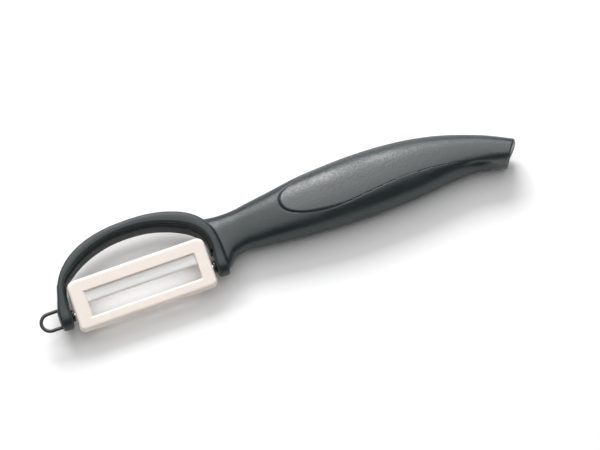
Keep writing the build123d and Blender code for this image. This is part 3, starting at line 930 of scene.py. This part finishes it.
class PEELER_OT_blade(bpy.types.Operator):
    """Make the ceramic blade with its ground bevel"""
    bl_idname = "peeler.make_blade"
    bl_label = "Blade"

    def execute(self, context):
        carrier = context.scene.peeler_carrier
        ceramic = plastic("blade_ceramic", carrier.blade_colour, 0.22, 900.0, 0.002, cloud_size=120.0,
                          colour_spread=0.02, roughness_spread=0.08, subsurface=0.10, coat=0.2, ior=1.6)
        front = carrier.depth / 2 - carrier.blade_sink
        back = front - carrier.blade_thickness
        edge = carrier.bar_reach - carrier.bar_width - carrier.blade_width
        top = edge + carrier.blade_width + BLADE_KEY
        lip = BLADE_LIP
        section_points = [
            (edge, back + 0.02), (edge + 0.01, back + carrier.blade_thickness - carrier.bevel),
            (edge + carrier.bevel - lip, front - lip / 2), (edge + carrier.bevel + lip, front),
            (top - lip, front), (top, front - lip), (top, back + lip), (top - lip, back),
            (edge + 0.10, back), (edge + 0.03, back + 0.005),
        ]
        ends = [BLADE_LOW.x, BLADE_LOW.x + lip]
        ends += list(np.linspace(BLADE_LOW.x + 1, BLADE_HIGH.x - 1, 24)) + [BLADE_HIGH.x - lip, BLADE_HIGH.x]
        rings = [[carrier_point(x, p, q, carrier.tilt) for p, q in section_points] for x in ends]
        place(ladder_mesh("blade_strip", rings), "blade", "blade_ceramic", ceramic, "ceramic_blade")
        return {"FINISHED"}


# ---- stage


def area_light(name, location, target, size, power_watts, size_y=None):
    """A soft rectangular light aimed at a point."""
    light = bpy.data.lights.new(name, "AREA")
    light.shape = "RECTANGLE"
    light.size, light.size_y = size, size_y or size
    light.energy = power_watts
    lamp = bpy.data.objects.new(name, light)
    lamp.location = location
    lamp.rotation_euler = (Vector(target) - Vector(location)).to_track_quat("-Z", "Y").to_euler()
    bpy.context.scene.collection.objects.link(lamp)
    return lamp


def soft_sky(world):
    """A white surround that is brighter behind the peeler than in front of it."""
    nodes, links = world.node_tree.nodes, world.node_tree.links
    where = nodes.new("ShaderNodeTexCoord")
    split = nodes.new("ShaderNodeSeparateXYZ")
    ramp = nodes.new("ShaderNodeMapRange")
    ramp.interpolation_type = "SMOOTHSTEP"
    ramp.inputs["From Min"].default_value = -0.6
    ramp.inputs["From Max"].default_value = 0.8
    ramp.inputs["To Min"].default_value = 0.25
    ramp.inputs["To Max"].default_value = 0.90
    links.new(where.outputs["Generated"], split.inputs["Vector"])
    links.new(split.outputs["Y"], ramp.inputs["Value"])
    links.new(ramp.outputs["Result"], nodes["Background"].inputs["Strength"])


class PEELER_OT_stage(bpy.types.Operator):
    """Make the camera, the plain floor and the soft studio lights"""
    bl_idname = "peeler.make_stage"
    bl_label = "Stage"

    def execute(self, context):
        stage = context.scene.peeler_stage
        right = Vector((math.cos(stage.azimuth), -math.sin(stage.azimuth), 0))
        back = Vector((-math.sin(stage.azimuth) * math.cos(stage.elevation),
                       -math.cos(stage.azimuth) * math.cos(stage.elevation), math.sin(stage.elevation)))
        up = back.cross(right)
        target = (PIVOT + right * stage.aim_right + up * stage.aim_up) * MM
        lens = bpy.data.cameras.new("camera")
        lens.lens = stage.lens
        lens.clip_start, lens.clip_end = 0.05, 20
        camera = bpy.data.objects.new("camera", lens)
        distance = stage.view_width * MM * stage.lens / lens.sensor_width
        camera.location = target + back * distance
        camera.rotation_euler = back.to_track_quat("Z", "Y").to_euler()
        context.scene.collection.objects.link(camera)
        context.scene.camera = camera

        floor_mesh = bmesh.new()
        bmesh.ops.create_grid(floor_mesh, x_segments=8, y_segments=8, size=2.5)
        floor = finish_mesh("floor", floor_mesh)
        paper = plastic("floor_paper", stage.floor_colour, 0.8, 300.0, 0.002, colour_spread=0.01,
                        roughness_spread=0.05, specular=0.2)
        floor.data.materials.append(paper)

        middle = (CAD_BOX[0] + CAD_BOX[1]) / 2
        area_light("key_light", middle + Vector((0.06, 0.80, 0.74)), middle, 0.75, 12.0, 0.42)
        area_light("top_light", middle + Vector((0.0, 0.1, 1.4)), middle, 1.7, 17.5)
        world = context.scene.world or bpy.data.worlds.new("world")
        context.scene.world = world
        world.use_nodes = True
        soft_sky(world)
        context.scene.view_settings.view_transform = "Standard"
        return {"FINISHED"}


# ---- panel and registration


class PEELER_PT_panel(bpy.types.Panel):
    """The peeler's settings and its pieces"""
    bl_label = "Peeler"
    bl_idname = "PEELER_PT_panel"
    bl_space_type = "VIEW_3D"
    bl_region_type = "UI"
    bl_category = "Peeler"

    def draw(self, context):
        for name, group, operators in LISTED:
            box = self.layout.box()
            box.label(text=name)
            settings = getattr(context.scene, group)
            for setting in settings.__annotations__:
                box.prop(settings, setting)
            for operator in operators:
                box.operator(operator.bl_idname)


LISTED = (
    ("Grip", "peeler_grip", (PEELER_OT_grip,)),
    ("Bow", "peeler_bow", (PEELER_OT_bow, PEELER_OT_loop, PEELER_OT_pivots)),
    ("Carrier", "peeler_carrier", (PEELER_OT_carrier, PEELER_OT_blade)),
    ("Stage", "peeler_stage", (PEELER_OT_stage,)),
)
GROUPS = {
    "peeler_grip": PEELER_PG_grip,
    "peeler_bow": PEELER_PG_bow,
    "peeler_carrier": PEELER_PG_carrier,
    "peeler_stage": PEELER_PG_stage,
}
OPERATORS = [operator for _, _, operators in LISTED for operator in operators]
CLASSES = (*GROUPS.values(), *OPERATORS, PEELER_PT_panel)


def register():
    for cls in CLASSES:
        bpy.utils.register_class(cls)
    for name, group in GROUPS.items():
        setattr(bpy.types.Scene, name, PointerProperty(type=group))


def unregister():
    for name in GROUPS:
        delattr(bpy.types.Scene, name)
    for cls in reversed(CLASSES):
        bpy.utils.unregister_class(cls)


def main():
    register()
    for operator in OPERATORS:
        family, name = operator.bl_idname.split(".")
        getattr(getattr(bpy.ops, family), name)()


if __name__ == "__main__":
    main()
